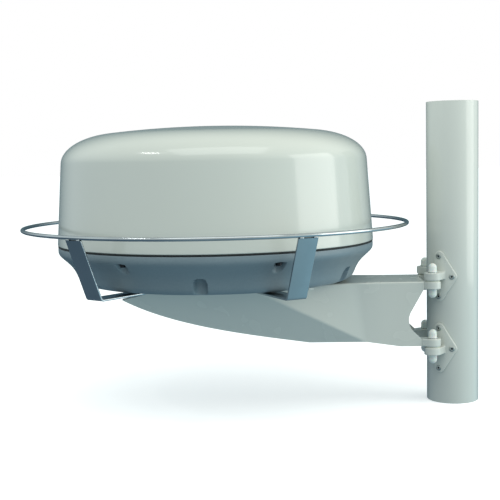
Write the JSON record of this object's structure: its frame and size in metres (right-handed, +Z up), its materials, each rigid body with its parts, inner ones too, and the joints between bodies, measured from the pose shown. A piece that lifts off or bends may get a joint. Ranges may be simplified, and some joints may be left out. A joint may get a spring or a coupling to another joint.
{
  "type": "radar dome antenna",
  "caption": "Round marine radar dome in a polished guard hoop on a hinged mast bracket; the aerial array inside is turned by a geared motor.",
  "frame": {"origin": "centre of the mast section's lower end face", "axes": "+Z up along the mast, -X out along the bracket to the dome, +Y to the side with the cable gland"},
  "size_m": [0.7514, 0.6368, 0.492],
  "materials": {
    "mast_paint": "gloss",
    "bracket_paint": "gloss",
    "foot_paint": "gloss",
    "polished_steel": "polished",
    "rivet_steel": "satin",
    "hardware_steel": "satin",
    "black_oxide": "satin",
    "cap_plastic": "gloss",
    "nylon": "matt",
    "cover_plastic": "gloss",
    "base_plastic": "satin",
    "seal_rubber": "matt",
    "brass": "machined",
    "gland_plastic": "matt",
    "chassis_alloy": "satin",
    "cast_alloy": "cast",
    "bearing_steel": "ground",
    "spindle_steel": "turned",
    "board_green": "solder mask",
    "component_plastic": "moulded",
    "shield_tin": "tinned",
    "magnet_dark": "sintered",
    "magnetron_copper": "machined",
    "motor_black": "satin",
    "gear_acetal": "satin",
    "window_plastic": "satin"
  },
  "bodies": {
    "mount": {"mast_section": "mast_paint", "foot_upper_near": "foot_paint", "foot_upper_far": "foot_paint", "foot_lower_near": "foot_paint", "foot_lower_far": "foot_paint", "foot_rivets": "rivet_steel", "hinge_bolts": "hardware_steel", "hinge_nuts": "hardware_steel", "washers": "hardware_steel", "hinge_spacers": "nylon", "bolt_caps": "cap_plastic", "bracket_top_plate": "bracket_paint", "bracket_side_near": "bracket_paint", "bracket_side_far": "bracket_paint", "bracket_ear_upper_near": "bracket_paint", "bracket_ear_upper_far": "bracket_paint", "bracket_ear_lower_near": "bracket_paint", "bracket_ear_lower_far": "bracket_paint", "guard_ring": "polished_steel", "guard_leg_near_left": "polished_steel", "guard_leg_near_right": "polished_steel", "guard_leg_far_left": "polished_steel", "guard_leg_far_right": "polished_steel", "guard_hub_plate": "polished_steel", "guard_weld_beads": "polished_steel", "radome_gasket": "seal_rubber", "radome_base": "base_plastic", "clamp_screws": "black_oxide", "base_inserts": "brass", "fixing_bolts": "hardware_steel", "cable_gland": "gland_plastic", "gland_cap_nut": "gland_plastic", "gland_lock_nut": "gland_plastic", "standoffs": "brass", "chassis_plate": "chassis_alloy", "pan_screws": "hardware_steel", "transceiver_case": "cast_alloy", "magnetron": "magnetron_copper", "power_board": "board_green", "board_components": "component_plastic", "receiver_module": "shield_tin", "bearing_housing": "cast_alloy", "bearing_outer_rings": "bearing_steel", "bearing_balls": "bearing_steel", "rotary_joint": "brass", "drive_motor": "motor_black", "motor_bracket": "chassis_alloy", "heading_sensor": "component_plastic"},
    "cover": {"radome_cover": "cover_plastic", "cover_inserts": "brass"},
    "scanner": {"spindle": "spindle_steel", "bearing_inner_rings": "bearing_steel", "driven_gear": "gear_acetal", "heading_magnet": "magnet_dark", "array_carrier": "chassis_alloy", "array_channel": "chassis_alloy", "slotted_feed": "brass", "array_window": "window_plastic"},
    "pinion": {"motor_pinion": "spindle_steel", "motor_shaft": "spindle_steel"}
  },
  "joints": [
    {"name": "antenna_spin", "type": "hinge", "parent": "mount", "child": "scanner", "pos_m": [-0.391, 0, 0.303], "axis": [0, 0, 1], "continuous": true},
    {"name": "motor_spin", "type": "hinge", "parent": "mount", "child": "pinion", "pos_m": [-0.3235, 0, 0.303], "axis": [0, 0, 1], "continuous": true},
    {"name": "cover_lift", "type": "slide", "parent": "mount", "child": "cover", "axis": [0, 0, 1], "range_m": [0, 0.25]}
  ],
  "couplings": [
    {"joint": "motor_spin", "follows": "antenna_spin", "ratio": -4}
  ]
}
